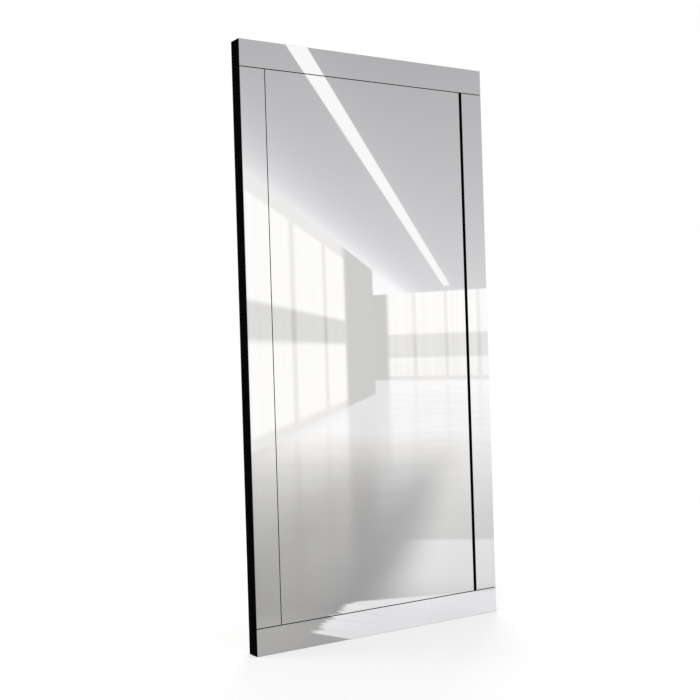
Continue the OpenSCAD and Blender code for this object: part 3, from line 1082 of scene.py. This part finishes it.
@dataclass
class StudioFloor(Plan):
    """A level floor: white with a soft shadow for the camera; in reflections pale, polished and glowing,
    with painted daylight and painted shade.
    """

    reach: float = 60.0
    gloss: float = 0.12
    glow: float = 0.75
    white: float = 0.97
    tints: tuple[tuple[float, Colour], ...] = (
        (0.0, (0.0, 0.0, 0.0)),
        (0.45, (0.461, 0.449, 0.434)),
        (0.7, (0.7, 0.69, 0.715)),
        (1.0, (1.0, 1.0, 1.0)),
    )
    # painted shade: darker near the left and near the mirror, paler further out
    near_tone: float = 0.162
    across_gain: float = 0.3
    foot_gain: float = 0.07
    far_tone: float = 0.58
    beyond_tone: float = 0.5
    beyond_line: Line = (0.228, 1.0, 0.427)
    # a painted pool of streaked daylight by the mirror's foot, bounded by three lines
    painted_daylight_tone: float = 0.7
    lit_left: Line = (-0.138, 1.0, 0.246)
    lit_far: Line = (-1.0, 0.387, 0.528)
    lit_foot: Line = (1.0, 0.58, 0.129)
    lit_edge: Spot = (-0.02, 0.02)
    foot_edge: Spot = (-0.012, 0.012)
    # a fainter painted patch of light, then painted streaks of shade across the daylight
    painted_patch_gain: float = 0.16
    streak_turn: Spot = (0.88, 0.47)
    streak_waves: Spot = (24.0, 2.5)
    streak_gain: float = 0.04
    streak_shift: float = 0.02
    polish: Grain = Grain(1.3, 4.0, 0.6)

    def tone(self, graph: Graph) -> Value:
        """The floor's brightness in reflections, with painted shade that makes it darker near the left and
        paler further out.

        A painted pool of streaked daylight lies by the mirror's foot, between three lines, over a fainter
        painted patch of light.
        """
        u, v, _ = self.uv(graph)
        # painted shade: darker at the left, paler further out and beyond a line
        near = v.rise(-0.22, 0.12) * self.across_gain + u.rise(0.4, 0.0) * self.foot_gain + self.near_tone
        tone = near + (self.far_tone - near) * u.rise(2.2, 9.5)
        tone = tone + (self.beyond_tone - tone) * self.past(u, v, self.beyond_line).rise(-0.05, -0.6)
        # painted streaks of shade across the daylight, as from slats
        (cosine, sine), (fine, coarse) = self.streak_turn, self.streak_waves
        places = {"X": (u * cosine + v * sine) * fine, "Y": (v * cosine - u * sine) * coarse}
        swept = Grain(1.0).on(graph.node("ShaderNodeCombineXYZ", {}, places))
        painted_streaks = (swept - 0.5) * 5.0 * v.rise(0.04, -0.2)
        # a painted pool of daylight between three lines
        lit = (self.past(u, v, self.lit_left) + painted_streaks * self.streak_shift).rise(*self.lit_edge)
        lit = lit * self.past(u, v, self.lit_far).rise(*self.lit_edge)
        lit = lit * self.past(u, v, self.lit_foot).rise(*self.foot_edge)
        # a fainter painted patch of light
        second = v.rise(-0.15, 0.03) * u.rise(1.82, 1.74) * u.rise(0.2, 1.0) * self.painted_patch_gain
        return tone + (self.painted_daylight_tone - tone + painted_streaks * self.streak_gain) * lit + second * (1 - lit)

    def shade(self, graph: Graph) -> Value:
        """White that turns to its own light further out, and for reflections the polished floor, glowing
        with its painted light and shade.
        """
        x, y, _ = graph.split(graph.place())
        out = (x * x + y * y).math("SQRT")
        tone = self.tone(graph)
        sockets = {
            "Base Color": graph.mix(tone * 0.3, (0.0, 0.0, 0.0), (1.0, 1.0, 1.0)),
            "Roughness": self.polish.on(graph.place()) * 0.1 + self.gloss,
            # in reflections the floor glows with the painted light and shade of its tone
            "Emission Color": graph.ramp(tone, self.tints),
            "Emission Strength": self.glow,
            "Specular IOR Level": 0.25,
        }
        pale = graph.node("ShaderNodeBsdfPrincipled", {}, sockets)
        white = graph.node("ShaderNodeBsdfDiffuse", {}, {"Color": graph.rgba((self.white,) * 3)})
        glow = graph.node("ShaderNodeEmission", {}, {"Strength": 1.0})
        faded = out.rise(1.2, 3.6) * 0.6 + 0.4
        rays = graph.node("ShaderNodeLightPath", output="Is Camera Ray")
        shown = graph.node("ShaderNodeMixShader", {}, {0: faded * rays, 1: white, 2: glow})
        glossy = graph.other(rays, "Is Glossy Ray")
        return graph.node("ShaderNodeMixShader", {}, {0: glossy, 1: shown, 2: pale})

    def build(self) -> None:
        """Makes the floor."""
        reach = np.linspace(-self.reach, self.reach, 2)
        across, along = np.meshgrid(reach, reach, indexing="ij")
        staged("floor", np.stack([across, along, np.zeros_like(across)], axis=-1), self.shade)


@dataclass(frozen=True)
class Lamp:
    """A square soft lamp that faces a point, and that reflections show where it is mirrored."""

    name: str
    place: Point
    aim: Point
    size: float
    watts: float
    mirrored: bool

    def build(self) -> None:
        """Makes the lamp."""
        data = bpy.data.lights.new(self.name, "AREA")
        data.shape, data.size, data.energy = "SQUARE", self.size, self.watts
        made = bpy.data.objects.new(self.name, data)
        made.location = self.place
        made.rotation_mode = "QUATERNION"
        made.rotation_quaternion = (Vector(self.aim) - Vector(self.place)).to_track_quat("-Z", "Y")
        made.visible_glossy = self.mirrored
        bpy.context.scene.collection.objects.link(made)


@dataclass
class Studio:
    """The surround, the black cards, the soft lamps and the camera at the photograph's angle."""

    fill: float = 0.62
    flag_x: Spot = (-0.4595, -0.62)
    flag_y: Spot = (-0.02, 0.0275)
    flag_height: float = 1.9
    flag_lift: float = 0.002
    lamps: tuple[Lamp, ...] = (
        Lamp("key", (-4.2, -3.6, 4.4), (0.0, 0.0, 0.8), 3.0, 170.0, False),
        Lamp("side", (4.6, -2.4, 2.6), (0.0, 0.0, 0.8), 2.4, 60.0, False),
        Lamp("back_key", (3.4, 4.2, 4.2), (0.0, 0.0, 0.9), 2.6, 170.0, True),
        Lamp("back_fill", (-4.2, 3.4, 2.4), (0.0, 0.0, 0.9), 2.2, 60.0, False),
    )
    lens: float = 58.49
    sensor: float = 36.0
    clip: Spot = (0.05, 200.0)
    camera_place: Point = (-2.0206, -3.0111, 0.8923)
    heading_deg: float = 32.753
    pitch_deg: float = 0.102
    roll_deg: float = -1.764

    def build(self) -> None:
        """Makes the studio."""
        self.surround()
        StudioFloor().build()
        self.flags()
        for lamp in self.lamps:
            lamp.build()
        self.camera()
        StudioRoom().build()

    def surround(self) -> None:
        """White for the camera and a soft fill for the object; reflections see the room's cards."""
        world = bpy.data.worlds.new("surround")
        world.use_nodes = True
        graph = Graph(world.node_tree)
        camera = graph.node("ShaderNodeLightPath", output="Is Camera Ray")
        seen = camera.most(graph.other(camera, "Is Transmission Ray"))
        sockets = {"Color": (1.0, 1.0, 1.0, 1.0), "Strength": seen * (1 - self.fill) + self.fill}
        light = graph.node("ShaderNodeBackground", {}, sockets)
        graph.node("ShaderNodeOutputWorld", {}, {"Surface": light})
        world.cycles_visibility.glossy = False
        bpy.context.scene.world = world

    def flags(self) -> None:
        """Black cards behind and under the left side, so that the lacquer there reflects dark."""
        (near, far), (front, back) = self.flag_x, self.flag_y
        high, lift = self.flag_height, self.flag_lift
        wall = [[(near, back, 0.0), (near, back, high)], [(far, back, 0.0), (far, back, high)]]
        foot = [[(near, back, lift), (near, front, lift)], [(far, back, lift), (far, front, lift)]]
        only_reflected(staged("flag_wall", np.array(wall), self.black))
        only_reflected(staged("flag_foot", np.array(foot), self.black))

    @staticmethod
    def black(graph: Graph) -> Value:
        """A shader that gives no light back."""
        return graph.node("ShaderNodeBsdfDiffuse", {}, {"Color": (0.0, 0.0, 0.0, 1.0)})

    def camera(self) -> None:
        """The camera that the photograph's corners were fitted with."""
        heading, pitch, roll = (math.radians(a) for a in (self.heading_deg, self.pitch_deg, self.roll_deg))
        ahead = Vector((math.sin(heading), math.cos(heading), 0)) * math.cos(pitch)
        ahead.z = math.sin(pitch)
        level = Vector((math.cos(heading), -math.sin(heading), 0))
        upright = level.cross(ahead)
        right = level * math.cos(roll) + upright * math.sin(roll)
        up = upright * math.cos(roll) - level * math.sin(roll)
        data = bpy.data.cameras.new("camera")
        data.lens, data.sensor_width = self.lens, self.sensor
        data.clip_start, data.clip_end = self.clip
        made = bpy.data.objects.new("camera", data)
        turn = Matrix((right, up, -ahead)).transposed().to_4x4()
        made.matrix_world = Matrix.Translation(self.camera_place) @ turn
        bpy.context.scene.collection.objects.link(made)
        bpy.context.scene.camera = made


def main() -> None:
    """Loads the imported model, dresses it and builds the studio round it."""
    logging.basicConfig(level=logging.INFO, format="%(name)s: %(message)s")
    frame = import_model()
    bpy.context.scene.view_settings.view_transform = "Standard"
    Studio().build()
    for assembly in (MirrorFace(frame), BoxFrame(frame), Back(frame), Bumpers(frame), Hangers(frame)):
        assembly.build()


if __name__ == "__main__":
    main()
